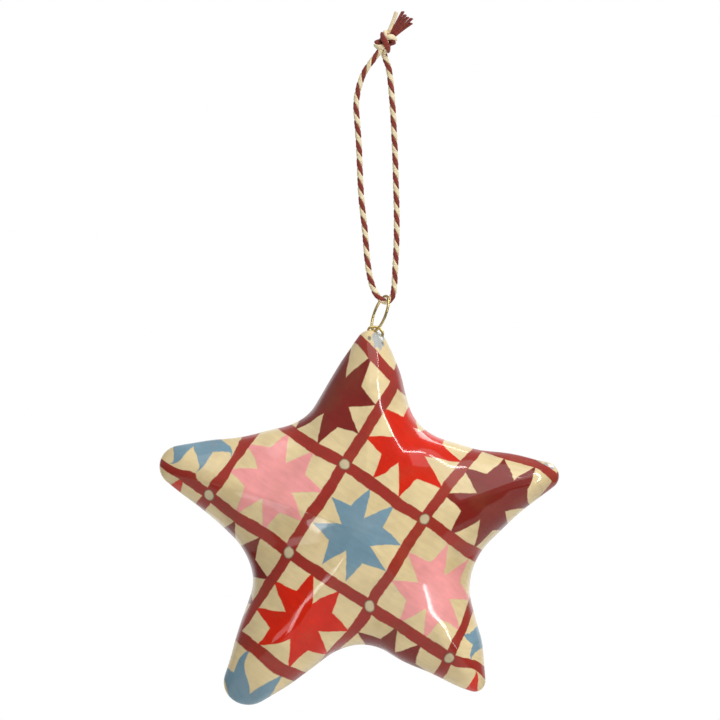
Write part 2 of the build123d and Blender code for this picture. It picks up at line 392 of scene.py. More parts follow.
@dataclass
class QuiltPaint:
    """The painted quilt and its lacquer.

    The quilt is laid out in blocks: a place of 0, 0 is the middle of the blue block at the star's heart.
    """

    cream: Colour = (233, 211, 162)
    cream_shade: Colour = (204, 179, 126)
    blue: Colour = (121, 154, 171)
    pink: Colour = (247, 163, 161)
    red: Colour = (214, 34, 4)
    burgundy: Colour = (128, 35, 28)
    sash: Colour = (160, 50, 40)
    dot: Colour = (212, 196, 158)
    dot_line: Colour = (122, 66, 52)
    soil: Colour = (150, 112, 70)
    dabs: Tuple[Dab, ...] = (
        Dab((-0.89, -1.70, 0.0), 0.11, GREY_BLUE, 0.8),
        Dab((1.16, -1.535, 0.0), 0.035, GREY_BLUE, 0.85),
        Dab((1.25, -1.55, 0.0), 0.04, GREY_BLUE, 0.85),
        Dab((1.34, -1.575, 0.0), 0.035, GREY_BLUE, 0.85),
        # Two dark grey spots on the top arm's nose, beside where the wire eye goes in.
        Dab((-1.012, -1.61, 0.0), 0.03, DARK_GREY, 0.8),
        Dab((-0.80, -1.72, 0.0), 0.024, DARK_GREY, 0.7),
    )
    sash_half_width: float = 0.052
    dot_radius: float = 0.05
    dot_line_width: float = 0.006
    dots_within: float = 1.0
    tooth: Span = (0.165, 0.46)
    side_notch: Span = (0.0, 0.185)
    corner_notch: Span = (0.215, 0.215)
    blue_size: float = 0.94
    pink_size: float = 1.01
    star_offset: float = 0.025
    star_growth: float = 0.03
    bare_above: float = -1.5
    edge_blur: float = 0.012
    drift: float = 0.045
    drift_fineness: float = 2.1
    tremble: float = 0.012
    tremble_fineness: float = 11.0
    streaks: Point = (5.0, 23.0, 1.0)
    streak_share: float = 0.5
    patch_fineness: float = 3.1
    light_spread: float = 0.5
    least_light: float = 0.63
    dot_thickness: float = 2.0
    streak_thickness: float = 0.35
    cloud_fineness: float = 1.4
    cloud_limits: Span = (0.42, 0.78)
    cloud_share: float = 0.45
    blot_fineness: float = 14.0
    blot_spread: float = 1.2
    blot_least: float = 0.4
    wear: Wear = Wear(patch=2.6, amount=0.14, polish=0.2, bump=0.35, depth=0.00012)
    wear_height: float = 0.5
    paint_shine: float = 0.05
    lacquer: float = 1.0
    lacquer_roughness: float = 0.07
    lacquer_ior: float = 1.38
    sheet: NodeSheet = field(init=False)

    def build_quilt(self) -> bpy.types.NodeTree:
        """The pattern as a group.

        Returns:
            A group that gives the paint's colour and its thickness at a place of the quilt.
        """
        outputs = {"Colour": SocketKind.COLOUR, "Thickness": SocketKind.NUMBER}
        self.sheet, given, out = new_group("quilt_paint", {"Place": SocketKind.PLACE}, outputs)
        sheet = self.sheet
        place = given.outputs["Place"]
        across, down = self.by_hand(place)
        column = sheet.math("FLOOR", sheet.math("ADD", across, 0.5))
        row = sheet.math("FLOOR", sheet.math("ADD", down, 0.5))
        odd_column = sheet.math("FLOORED_MODULO", column, 2.0)
        odd_row = sheet.math("FLOORED_MODULO", row, 2.0)
        star = self.star_mask(across, down, column, row, self.star_shrink(odd_column, odd_row))
        star = sheet.math("MULTIPLY", star, sheet.math("GREATER_THAN", down, self.bare_above))
        sash, dot_line, dot = self.sash_masks(across, down, column, row)
        even_rows = sheet.mix(odd_column, linear(self.blue), linear(self.pink))
        odd_rows = sheet.mix(odd_column, linear(self.red), linear(self.burgundy))
        colour = sheet.mix(star, self.ground(place), sheet.mix(odd_row, even_rows, odd_rows))
        for mask, paint in ((sash, self.sash), (dot_line, self.dot_line), (dot, self.dot)):
            colour = sheet.mix(mask, colour, linear(paint))
        streaks = sheet.noise(sheet.vector("MULTIPLY", place, self.streaks), 1.0, Grain.CLOUDY)
        patches = sheet.noise(place, self.patch_fineness, Grain.CLOUDY)
        shade = sheet.math("MULTIPLY_ADD", streaks, self.streak_share, patches)
        light = sheet.math("MULTIPLY_ADD", shade, self.light_spread, self.least_light)
        grey = sheet.add("ShaderNodeCombineColor", {0: light, 1: light, 2: light})
        raised_dot = sheet.math("MULTIPLY", dot, self.dot_thickness)
        paint = sheet.math("MAXIMUM", sheet.math("MAXIMUM", star, sash), raised_dot)
        thickness = sheet.math("MULTIPLY_ADD", streaks, self.streak_thickness, paint)
        sheet.feed(sheet.mix(1.0, colour, grey.outputs[0], "MULTIPLY"), out.inputs["Colour"])
        sheet.feed(thickness, out.inputs["Thickness"])
        return sheet.tree

    def by_hand(self, place: Socket) -> Tuple[Socket, Socket]:
        """The quilt's place as an unsteady hand puts it.

        Args:
            place: The true place.

        Returns:
            The place across and down the quilt, in blocks.
        """
        sheet = self.sheet
        drift = sheet.noise(place, self.drift_fineness, Grain.SMOOTH)
        tremble = sheet.noise(place, self.tremble_fineness, Grain.SOFT)
        for noise, reach in ((drift, self.drift), (tremble, self.tremble)):
            centred = sheet.vector("SUBTRACT", noise.node.outputs["Color"], (0.5, 0.5, 0.5))
            scaled = sheet.vector("MULTIPLY", centred, (2 * reach, 2 * reach, 0.0))
            place = sheet.vector("ADD", place, scaled)
        parts = sheet.add("ShaderNodeSeparateXYZ", {0: place})
        return parts.outputs[0], parts.outputs[1]

    def sash_masks(self, across: Socket, down: Socket, column: Socket, row: Socket) -> List[Socket]:
        """Where the sashes between the blocks and the dots at their crossings are painted.

        Args:
            across: Place across the quilt.
            down: Place down the quilt.
            column: The block's column.
            row: The block's row.

        Returns:
            Sockets that are 1 on the sashes, on the dots with their outlines, and on the dots.
        """
        sheet = self.sheet
        edges = []
        for place, block in ((across, column), (down, row)):
            away = sheet.math("ABSOLUTE", sheet.math("SUBTRACT", place, block))
            edges.append(sheet.math("SUBTRACT", 0.5, away))
        edge = sheet.math("MINIMUM", *edges)
        squares = [sheet.math("POWER", distance, 2.0) for distance in edges]
        reach = sheet.math("SQRT", sheet.math("ADD", *squares))
        outline = self.dot_radius + self.dot_line_width
        sash = sheet.step(edge, self.sash_half_width + self.edge_blur, self.sash_half_width)
        dot_line = sheet.step(reach, outline + self.edge_blur, outline)
        dot = sheet.step(reach, self.dot_radius + self.edge_blur, self.dot_radius - self.edge_blur)
        dotted = sheet.math("LESS_THAN", sheet.math("ABSOLUTE", down), self.dots_within)
        return [sash, sheet.math("MULTIPLY", dot_line, dotted), sheet.math("MULTIPLY", dot, dotted)]

    def star_shrink(self, odd_column: Socket, odd_row: Socket) -> Socket:
        """How much smaller than the common size a block's star is painted.

        Args:
            odd_column: 1 in every other column.
            odd_row: 1 in every other row.

        Returns:
            A socket with the factor.
        """
        pink_over_blue = 1 / self.pink_size - 1 / self.blue_size
        even_row = self.sheet.math("MULTIPLY_ADD", odd_column, pink_over_blue, 1 / self.blue_size)
        other = self.sheet.math("SUBTRACT", 1.0, even_row)
        return self.sheet.math("MULTIPLY_ADD", odd_row, other, even_row)

    def star_mask(
        self, across: Socket, down: Socket, column: Socket, row: Socket, shrink: Socket
    ) -> Socket:
        """Where the eight-toothed star of a block is painted.

        Args:
            across: Place across the quilt.
            down: Place down the quilt.
            column: The block's column.
            row: The block's row.
            shrink: How much smaller than the common size the star is.

        Returns:
            A socket that is 1 on the star.
        """
        sheet = self.sheet
        block = sheet.add("ShaderNodeCombineXYZ", {0: column, 1: row, 2: 0.0})
        luck = sheet.add("ShaderNodeTexWhiteNoise", {"Vector": block.outputs[0]}, noise_dimensions="3D")
        lucky = sheet.add("ShaderNodeSeparateColor", {0: luck.outputs["Color"]})
        growth = sheet.math("MULTIPLY_ADD", lucky.outputs[2], 2 * self.star_growth, -self.star_growth)
        growth = sheet.math("ADD", growth, shrink)
        sides = []
        for place, middle, chance in ((across, column, lucky.outputs[0]), (down, row, lucky.outputs[1])):
            shift = sheet.math("MULTIPLY_ADD", chance, 2 * self.star_offset, -self.star_offset)
            away = sheet.math("SUBTRACT", sheet.math("SUBTRACT", place, middle), shift)
            sides.append(sheet.math("MULTIPLY", sheet.math("ABSOLUTE", away), growth))
        low = sheet.math("MINIMUM", *sides)
        high = sheet.math("MAXIMUM", *sides)
        inner = self.beyond_line(low, high, self.side_notch, self.tooth)
        outer = self.beyond_line(low, high, self.tooth, self.corner_notch)
        return sheet.step(sheet.math("MAXIMUM", inner, outer), self.edge_blur, 0.0)

    def beyond_line(self, low: Socket, high: Socket, start: Span, end: Span) -> Socket:
        """How far a place lies to the left of a line, seen from its start.

        Args:
            low: The lesser of the two distances from the block's middle.
            high: The greater of them.
            start: Where the line starts, lesser distance first.
            end: Where it ends.

        Returns:
            A socket with the distance in blocks, below 0 on the star's side.
        """
        run = end[0] - start[0]
        climb = end[1] - start[1]
        length = math.hypot(run, climb)
        along_low = -climb / length
        along_high = run / length
        constant = -(along_low * start[0] + along_high * start[1])
        part = self.sheet.math("MULTIPLY_ADD", low, along_low, constant)
        return self.sheet.math("MULTIPLY_ADD", high, along_high, part)

    def ground(self, place: Socket) -> Socket:
        """The cream ground, with grey-blue dabs and dark spots at the tips.

        Args:
            place: Place on the quilt.

        Returns:
            A socket with the colour.
        """
        sheet = self.sheet
        warm = sheet.step(sheet.noise(place, self.cloud_fineness, Grain.GRAINY), *self.cloud_limits)
        warm = sheet.math("MULTIPLY", warm, self.cloud_share)
        ground = sheet.mix(warm, linear(self.cream), linear(self.cream_shade))
        blot = sheet.noise(place, self.blot_fineness, Grain.SOFT)
        wobble = sheet.math("MULTIPLY_ADD", blot, self.blot_spread, self.blot_least)
        for dab in self.dabs:
            away = sheet.add("ShaderNodeVectorMath", {0: place, 1: dab.place}, operation="DISTANCE")
            edge = sheet.math("MULTIPLY", away.outputs["Value"], wobble)
            on_dab = sheet.step(edge, dab.reach + self.edge_blur, dab.reach - self.edge_blur)
            ground = sheet.mix(sheet.math("MULTIPLY", on_dab, dab.cover), ground, linear(dab.colour))
        return ground

    def make(self, effects: SharedEffects) -> Material:
        """The finished material.

        Args:
            effects: The shared node groups.

        Returns:
            Painted and lacquered paper.
        """
        material, sheet, shader = new_material("painted_lacquered_paper")
        place = sheet.add("ShaderNodeUVMap", uv_map=QUILT_MAP).outputs[0]
        paint = sheet.add("ShaderNodeGroup", {"Place": place}, node_tree=self.build_quilt())
        worn = effects.handle(sheet, shader, paint.outputs["Colour"], self.soil, place, self.wear)
        height = sheet.math("MULTIPLY_ADD", worn, self.wear_height, paint.outputs["Thickness"])
        add_bump(sheet, shader, height, self.wear.bump, self.wear.depth)
        shader.inputs["Specular IOR Level"].default_value = self.paint_shine
        shader.inputs["Coat Weight"].default_value = self.lacquer
        shader.inputs["Coat Roughness"].default_value = self.lacquer_roughness
        shader.inputs["Coat IOR"].default_value = self.lacquer_ior
        return material


@dataclass(frozen=True)
class PlainFinish:
    """A finish of one handled material."""

    name: str
    colour: Colour
    soil: Colour
    wear: Wear
    metallic: float = 0.0

    def make(self, effects: SharedEffects) -> Material:
        """The finished material.

        Args:
            effects: The shared node groups.

        Returns:
            The material.
        """
        material, sheet, shader = new_material(self.name)
        place = sheet.add("ShaderNodeTexCoord").outputs["Object"]
        height = effects.handle(sheet, shader, linear(self.colour), self.soil, place, self.wear)
        add_bump(sheet, shader, height, self.wear.bump, self.wear.depth)
        shader.inputs["Metallic"].default_value = self.metallic
        return material


@dataclass(frozen=True)
class PlyFinish:
    """One spun cotton ply."""

    name: str
    thread: Colour
    # Painted shade: the colour of the low grooves between fibres.
    shade: Colour
    fibres: float = 7.0
    bump: float = 0.8
    depth: float = 0.0001
    roughness: float = 0.85
    sheen: float = 0.25
    sheen_roughness: float = 0.5

    def make(self, effects: SharedEffects) -> Material:
        """The finished material.

        Args:
            effects: The shared node groups.

        Returns:
            Spun cotton.
        """
        material, sheet, shader = new_material(self.name)
        lay = sheet.add("ShaderNodeUVMap", uv_map=LAY_MAP).outputs[0]
        inputs = {"Colour": linear(self.thread), "Shade": linear(self.shade)}
        inputs.update({"Place": lay, "Fibres": self.fibres})
        spun = sheet.add("ShaderNodeGroup", inputs, node_tree=effects.spun_fibre)
        sheet.feed(spun.outputs["Colour"], shader.inputs["Base Color"])
        add_bump(sheet, shader, spun.outputs["Height"], self.bump, self.depth)
        shader.inputs["Roughness"].default_value = self.roughness
        shader.inputs["Sheen Weight"].default_value = self.sheen
        shader.inputs["Sheen Roughness"].default_value = self.sheen_roughness
        return material


@dataclass
class MeshDraft:
    """Collects tubes for one mesh, with a map of places over them."""

    name: str
    points: List[Sequence[float]] = field(default_factory=list)
    faces: List[Sequence[int]] = field(default_factory=list)
    places: List[Sequence[Span]] = field(default_factory=list)
    finishes: List[int] = field(default_factory=list)

    def add_tube(self, sections: np.ndarray, along: np.ndarray, finish: int, closed: bool = False) -> None:
        """Adds a tube.

        Args:
            sections: Points of each section, as sections by points by 3, in metres.
            along: Distance of each section along the tube, in millimetres.
            finish: Place of its finish in the piece's list.
            closed: Whether the last section joins the first.
        """
        first = len(self.points)
        count, sides = sections.shape[:2]
        self.points.extend(sections.reshape(-1, 3).tolist())
        spans = count if closed else count - 1
        step = float(along[1] - along[0])
        for span in range(spans):
            after = (span + 1) % count
            start = float(along[span])
            end = float(along[after]) if after > span else start + step
            low = first + span * sides
            high = first + after * sides
            for side in range(sides):
                right = (side + 1) % sides
                left_share = side / sides
                right_share = (side + 1) / sides
                self.faces.append((low + side, low + right, high + right, high + side))
                self.places.append(
                    ((start, left_share), (start, right_share), (end, right_share), (end, left_share))
                )
                self.finishes.append(finish)
        if not closed:
            self.add_cap(first, sides, float(along[0]), finish, False)
            self.add_cap(first + (count - 1) * sides, sides, float(along[-1]), finish, True)

    def add_cap(self, first: int, sides: int, along: float, finish: int, at_end: bool) -> None:
        """Closes one end of a tube.

        Args:
            first: Number of the end section's first point.
            sides: Points in the section.
            along: The end's distance along the tube.
            finish: Place of its finish in the piece's list.
            at_end: Whether this is the tube's far end.
        """
        ring = list(range(first, first + sides))
        if not at_end:
            ring.reverse()
        self.faces.append(ring)
        self.places.append([(along, side / sides) for side in range(sides)])
        self.finishes.append(finish)

    def finish(self, materials: Sequence[Material]) -> Piece:
        """Makes the piece.

        Args:
            materials: Its finishes, in the order that the faces name them.

        Returns:
            The new object, in the scene.
        """
        mesh = bpy.data.meshes.new(self.name)
        mesh.from_pydata(self.points, [], self.faces)
        layer = mesh.uv_layers.new(name=LAY_MAP)
        flat = [value for face in self.places for place in face for value in place]
        layer.data.foreach_set("uv", flat)
        for material in materials:
            mesh.materials.append(material)
        mesh.polygons.foreach_set("material_index", self.finishes)
        mesh.polygons.foreach_set("use_smooth", [True] * len(self.faces))
        form = bmesh.new()
        form.from_mesh(mesh)
        bmesh.ops.recalc_face_normals(form, faces=form.faces)
        form.to_mesh(mesh)
        form.free()
        mesh.update()
        return add_to_scene(self.name, mesh)


def add_to_scene(name: str, data: Any) -> Piece:
    """Adds an object to the scene.

    Args:
        name: Its name.
        data: Its mesh, curve, lamp or camera.

    Returns:
        The object.
    """
    piece = bpy.data.objects.new(name, data)
    bpy.context.scene.collection.objects.link(piece)
    return piece


def place_piece(piece: Piece, body: Body, slot: str, *nodes: str) -> None:
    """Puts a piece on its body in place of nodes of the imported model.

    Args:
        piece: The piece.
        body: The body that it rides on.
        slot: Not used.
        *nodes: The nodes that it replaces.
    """
    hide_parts(*nodes)
    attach(piece, body.value)


@dataclass
class Line3:
    """A line of points with a frame at each that doesn't twist."""

    points: np.ndarray
    closed: bool = False
    across: np.ndarray = field(init=False)
    beside: np.ndarray = field(init=False)
    along: np.ndarray = field(init=False)

    def __post_init__(self) -> None:
        """Works out the frames and distances."""
        count = len(self.points)
        if self.closed:
            ahead = np.roll(self.points, -1, axis=0)
            behind = np.roll(self.points, 1, axis=0)
        else:
            ahead = self.points[np.minimum(np.arange(count) + 1, count - 1)]
            behind = self.points[np.maximum(np.arange(count) - 1, 0)]
        tangents = unit_rows(ahead - behind)
        steps = np.linalg.norm(np.diff(self.points, axis=0), axis=1)
        self.along = np.concatenate([[0.0], np.cumsum(steps)])
        self.across = np.zeros_like(self.points)
        current = FRONT
        for place, tangent in enumerate(tangents):
            current = current - tangent * np.dot(current, tangent)
            current = current / np.linalg.norm(current)
            self.across[place] = current
        self.beside = np.cross(tangents, self.across)

    def sections(self, flat: np.ndarray) -> np.ndarray:
        """Places flat sections along the line.

        Args:
            flat: Points of each section across and beside the line, as sections by points by 2.

        Returns:
            The sections' points in space.
        """
        out = self.points[:, None, :] + flat[:, :, 0:1] * self.across[:, None, :]
        return out + flat[:, :, 1:2] * self.beside[:, None, :]


def unit_rows(rows: np.ndarray) -> np.ndarray:
    """Scales rows to length one.

    Args:
        rows: The rows.

    Returns:
        The scaled rows.
    """
    return rows / np.linalg.norm(rows, axis=1)[:, None]


def directions(angles: Any) -> np.ndarray:
    """Flat directions of angles.

    Args:
        angles: One angle or more.

    Returns:
        Cosines and sines in the last axis.
    """
    return np.stack([np.cos(angles), np.sin(angles)], axis=-1)


def leaning(degrees: float) -> Tuple[np.ndarray, np.ndarray]:
    """Directions of something upright that leans to the right.

    Args:
        degrees: Its lean.

    Returns:
        The directions along it and to its right.
    """
    lean = math.radians(degrees)
    along = np.array((math.sin(lean), 0.0, math.cos(lean)))
    return along, np.array((math.cos(lean), 0.0, -math.sin(lean)))


def round_sections(radii: np.ndarray, sides: int) -> np.ndarray:
    """Round sections of a tube.

    Args:
        radii: Radius of each section.
        sides: Points in each.

    Returns:
        Sections by points by 2.
    """
    return radii[:, None, None] * directions(np.arange(sides) * FULL_TURN / sides)


def spline_points(name: str, route: Sequence[Point], resolution: int) -> np.ndarray:
    """Points along the smooth line that a route guides.

    Args:
        name: Name of the working curve.
        route: The route's points in millimetres.
        resolution: Points for each of the route's points.

    Returns:
        The points in metres.
    """
    curve = bpy.data.curves.new(name, "CURVE")
    curve.dimensions = "3D"
    curve.resolution_u = resolution
    spline = curve.splines.new("NURBS")
    spline.points.add(len(route) - 1)
    for target, point in zip(spline.points, route):
        target.co = (point[0] * MILLIMETRE, point[1] * MILLIMETRE, point[2] * MILLIMETRE, 1.0)
    spline.order_u = 3
    spline.use_endpoint_u = True
    holder = add_to_scene(name, curve)
    bpy.context.view_layer.update()
    mesh = bpy.data.meshes.new_from_object(holder)
    points = np.array([tuple(vertex.co) for vertex in mesh.vertices])
    bpy.data.objects.remove(holder)
    bpy.data.curves.remove(curve)
    bpy.data.meshes.remove(mesh)
    return points


@dataclass(frozen=True)
class HandDrift:
    """Where the painter's hand left the even quilt, in blocks."""

    place: Span
    shift: Span
    reach: float


@dataclass(frozen=True)
class HandTwist:
    """A block that the painter turned about its middle. Place and reach in blocks, turn in degrees."""

    place: Span
    turn: float
    reach: float


@dataclass(frozen=True)
class Wave:
    """One wave of the hand-pressed form: radians in a millimetre along each axis, and its start."""

    direction: Point
    start: float


@dataclass
class PaperStar:
    """The puffy paper star with its painted skin. Sizes in millimetres and degrees.

    Tuples of five go from the top arm round by the left, each arm with the valley after it.
    """

    centre_x: float = -5.1
    centre_z: float = -118.8
    arm_reach: float = 51.6
    valley_reach: float = 29.2
    valley_radius: float = 14.6
    arm_lean: Tuple[float, ...] = (-3.5, -1.3, -0.8, 1.1, -1.2)
    arm_extra: Tuple[float, ...] = (-1.2, 1.6, 1.7, -1.4, -0.7)
    nose_radius: Tuple[float, ...] = (3.9, 4.9, 5.9, 2.8, 3.5)
    valley_lean: Tuple[float, ...] = (-5.3, -1.8, -2.1, 0.5, 3.6)
    valley_extra: Tuple[float, ...] = (2.2, -0.3, -0.2, -0.2, 0.4)
    corner_passes: int = 12
    half_depth: float = 15.5
    seam_fullness: float = 1.8
    crown_point: float = 1.3
    crown_rounding: float = 0.44
    ridge_crispness: Tuple[float, ...] = (0.75, 0.97, 0.2, 0.4, 0.93)
    ridge_onset: float = 0.45
    slices: int = 44
    slice_bias: float = 1.15
    nose_points: int = 14
    dip_points: int = 16
    flank_points: int = 9
    seam_ridge: float = 0.12
    seam_ridge_width: float = 0.9
    unevenness: float = 0.32
    waves: Tuple[Wave, ...] = (
        Wave((0.21, 0.05, 0.13), 0.4),
        Wave((-0.11, 0.17, 0.24), 2.1),
        Wave((0.31, -0.12, -0.19), 4.0),
        Wave((0.08, 0.23, -0.33), 1.3),
        Wave((-0.42, 0.11, 0.09), 5.2),
    )
    ripple: float = 0.035
    ripples: Tuple[Wave, ...] = (
        Wave((0.75, 0.2, 0.45), 0.9),
        Wave((-0.5, 0.6, 0.7), 3.3),
        Wave((0.3, -0.4, 0.95), 1.7),
    )
    block_across: float = 24.2
    block_down: float = 25.3
    quilt_turn: float = 33.9
    quilt_skew: float = 1.5
    quilt_x: float = -6.475
    quilt_z: float = -119.825
    edge_wrap: float = 1.5
    edge_zone: float = 10.0
    drifts: Tuple[HandDrift, ...] = (
        HandDrift((1.25, -1.58), (0.0, 0.12), 0.3),
        HandDrift((1.1, -1.33), (-0.1, 0.09), 0.2),
        HandDrift((0.0, 2.15), (0.0, -0.16), 0.4),
        HandDrift((1.35, 0.0), (0.05, 0.0), 0.4),
        HandDrift((0.55, -1.3), (-0.07, 0.0), 0.35),
        HandDrift((-1.0, -1.0), (-0.06, 0.0), 0.35),
        HandDrift((1.9, 0.45), (0.0, 0.14), 0.3),
        HandDrift((1.8, 0.08), (0.2, 0.0), 0.24),
        HandDrift((1.54, 0.22), (0.0, -0.11), 0.14),
        HandDrift((1.7, 0.34), (0.13, 0.0), 0.14),
        HandDrift((-1.1, -1.6), (0.0, 0.12), 0.35),
        HandDrift((0.0, -1.0), (0.04, -0.025), 0.3),
        HandDrift((0.0, 0.0), (0.035, -0.02), 0.3),
        HandDrift((-0.3, 1.65), (0.18, 0.0), 0.27),
    )
    twists: Tuple[HandTwist, ...] = (HandTwist((-2.0, 0.0), 25.0, 0.485),)
    twist_edge: int = 12

    def outline(self, share: float) -> np.ndarray:
        """Outline of one slice about the star's centre.

        Args:
            share: The slice's share of the half depth.

        Returns:
            Its points, across and up.
        """
        shrink = (1 - share**self.seam_fullness) ** (1 / self.crown_point)
        push = 1 + self.crown_rounding * share**2
        rounded = []
        radii = []
        arms = len(self.arm_lean)
        for arm in range(arms):
            tip = (self.arm_reach + self.arm_extra[arm]) * shrink
            valley = (self.valley_reach + self.valley_extra[arm]) * shrink * push
            tip_angle = 90 + 360 / arms * arm + self.arm_lean[arm]
            valley_angle = 90 + 360 / arms * (arm + 0.5) + self.valley_lean[arm]
            rounded.append(tip * directions(math.radians(tip_angle)))
            rounded.append(valley * directions(math.radians(valley_angle)))
            crisp = self.ridge_crispness[arm] * (1 - shrink) ** self.ridge_onset
            radii.append(self.nose_radius[arm] * shrink * (1 - crisp))
            radii.append(self.valley_radius * shrink)
        return self.rounded_outline(rounded, radii)

    def opening(
        self, corners: List[np.ndarray], place: int
    ) -> Tuple[np.ndarray, np.ndarray, np.ndarray, float]:
        """Directions at one corner of an outline.

        Args:
            corners: The outline's sharp corners.
            place: Number of the corner.

        Returns:
            Unit directions to the last and next corners and along the bisector, and half the angle.
        """
        corner = corners[place]
        back = corners[place - 1] - corner
        on = corners[(place + 1) % len(corners)] - corner
        back, on = unit_rows(np.stack([back, on]))
        middle = back + on
        half = math.acos(float(np.clip(np.dot(back, on), -1, 1))) / 2
        return back, on, middle / np.linalg.norm(middle), half

    def rounded_outline(self, rounded: List[np.ndarray], radii: List[float]) -> np.ndarray:
        """Points of an outline whose rounded corners pass through given places.

        Args:
            rounded: The places.
            radii: Radius of each corner.

        Returns:
            The outline's points, the same number for every slice.
        """
        corners = rounded
        for _ in range(self.corner_passes):
            moved = []
            for place, target in enumerate(rounded):
                _, _, middle, half = self.opening(corners, place)
                moved.append(target - middle * radii[place] * (1 / math.sin(half) - 1))
            corners = moved
        arcs = []
        for place, corner in enumerate(corners):
            back, on, middle, half = self.opening(corners, place)
            centre = corner + middle * radii[place] / math.sin(half)
            start = corner + back * radii[place] / math.tan(half) - centre
            end = corner + on * radii[place] / math.tan(half) - centre
            start_angle = math.atan2(start[1], start[0])
            turn = (math.atan2(end[1], end[0]) - start_angle + math.pi) % FULL_TURN - math.pi
            count = self.nose_points if place % 2 == 0 else self.dip_points
            angles = start_angle + turn * np.linspace(0, 1, count)
            arcs.append(centre + radii[place] * directions(angles))
        points = []
        shares = np.linspace(0, 1, self.flank_points + 2)[1:-1, None]
        for place, arc in enumerate(arcs):
            following = arcs[(place + 1) % len(arcs)][0]
            points.append(arc)
            points.append(arc[-1] + (following - arc[-1]) * shares)
        return np.concatenate(points)

    def shares(self) -> np.ndarray:
        """Depths of the slices from the seam to just below the crown, closer together at both ends.

        Returns:
            Shares of the half depth.
        """
        steps = np.arange(self.slices) / self.slices
        return np.sin(steps * math.pi / 2) ** self.slice_bias

    def unevenness_at(self, points: np.ndarray) -> np.ndarray:
        """How far the hand-pressed form stands above or below the true one.

        Args:
            points: Points in millimetres.

        Returns:
            Heights in millimetres.
        """
        total = np.zeros(len(points))
        for height, group in ((self.unevenness, self.waves), (self.ripple, self.ripples)):
            share = height / math.sqrt(len(group))
            for wave in group:
                total += share * np.sin(points @ np.array(wave.direction) + wave.start)
        return total

    def quilt_places(self, flat: np.ndarray) -> np.ndarray:
        """Places on the quilt of points of the front view.

        Args:
            flat: Points across and up, in millimetres.

        Returns:
            Places across and down the quilt, in blocks.
        """
        turn = -math.radians(self.quilt_turn)
        skewed = -math.radians(self.quilt_turn + 90 - self.quilt_skew)
        blocks = [self.block_across * directions(turn), self.block_down * directions(skewed)]
        even = (flat - np.array((self.quilt_x, self.quilt_z))) @ np.linalg.inv(np.stack(blocks))
        painted = even.copy()
        for drift in self.drifts:
            distance = np.linalg.norm(even - np.array(drift.place), axis=1)
            share = np.exp(-((distance / drift.reach) ** 2))
            painted += share[:, None] * np.array(drift.shift)
        for twist in self.twists:
            away = painted - np.array(twist.place)
            distance = np.linalg.norm(away, axis=1)
            turn = math.radians(twist.turn) * np.exp(-((distance / twist.reach) ** self.twist_edge))
            across = away[:, 0] * np.cos(turn) - away[:, 1] * np.sin(turn)
            down = away[:, 0] * np.sin(turn) + away[:, 1] * np.cos(turn)
            painted = np.array(twist.place) + np.stack([across, down], axis=1)
        return painted

    def build(self) -> Tuple[np.ndarray, List[Sequence[int]], np.ndarray]:
        """Works out the skin.

        Returns:
            Its points in millimetres, its faces, and the quilt's place at each point.
        """
        rings = [self.outline(share) for share in self.shares()]
        seam = rings[0]
        ahead = np.roll(seam, -1, axis=0) - np.roll(seam, 1, axis=0)
        outward = unit_rows(np.stack([ahead[:, 1], -ahead[:, 0]], axis=1))
        centre = np.array((self.centre_x, self.centre_z))
        points = []
        places = []
        for side in (-1, 1):
            for share, ring in zip(self.shares(), rings):
                if side == 1 and share == 0:
                    continue
                depth = np.full((len(ring), 1), side * self.half_depth * share)
                flat = ring + centre
                inward = np.linalg.norm(seam - ring, axis=1)
                wrap = self.edge_wrap * np.clip(1 - inward / self.edge_zone, 0, 1) ** 2
                points.append(np.hstack([flat[:, 0:1], depth, flat[:, 1:2]]))
                places.append(self.quilt_places(flat + outward * wrap[:, None]))
            points.append(np.array([[self.centre_x, side * self.half_depth, self.centre_z]]))
            places.append(self.quilt_places(centre[None, :]))
        return np.concatenate(points), self.skin_faces(len(seam)), np.concatenate(places)

    def skin_faces(self, count: int) -> List[Sequence[int]]:
        """Faces of the skin, front half first.

        Args:
            count: Points in each slice.

        Returns:
            The faces as numbers of points.
        """
        front_crown = self.slices * count
        back_first = front_crown + 1
        back_crown = back_first + (self.slices - 1) * count
        faces: List[Sequence[int]] = []
        front = [ring * count for ring in range(self.slices)]
        back = [0] + [back_first + ring * count for ring in range(self.slices - 1)]
        for starts, crown, order in ((front, front_crown, 1), (back, back_crown, -1)):
            for place in range(count):
                after = (place + 1) % count
                for low, high in zip(starts, starts[1:]):
                    faces.append([low + place, low + after, high + after, high + place][::order])
                faces.append([starts[-1] + place, starts[-1] + after, crown][::order])
        return faces

    def dress(self, material: Material) -> Piece:
        """Makes the skin and puts it on the star's body.

        Args:
            material: The painted finish.

        Returns:
            The skin.
        """
        points, faces, places = self.build()
        mesh = bpy.data.meshes.new("star_skin")
        mesh.from_pydata((points * MILLIMETRE).tolist(), [], faces)
        mesh.update()
        normals = np.zeros(len(points) * 3)
        mesh.vertices.foreach_get("normal", normals)
        ridge = self.seam_ridge * np.exp(-((points[:, 1] / self.seam_ridge_width) ** 2))
        lift = self.unevenness_at(points) + ridge
        points = points + normals.reshape(-1, 3) * lift[:, None]
        mesh.vertices.foreach_set("co", (points * MILLIMETRE).ravel())
        layer = mesh.uv_layers.new(name=QUILT_MAP)
        corners = np.zeros(len(mesh.loops), dtype=int)
        mesh.loops.foreach_get("vertex_index", corners)
        layer.data.foreach_set("uv", places[corners].ravel())
        mesh.polygons.foreach_set("use_smooth", [True] * len(mesh.polygons))
        mesh.materials.append(material)
        mesh.update()
        skin = add_to_scene("star_skin", mesh)
        place_piece(skin, Body.STAR, "painted_paper", "front_shell", "back_shell")
        return skin


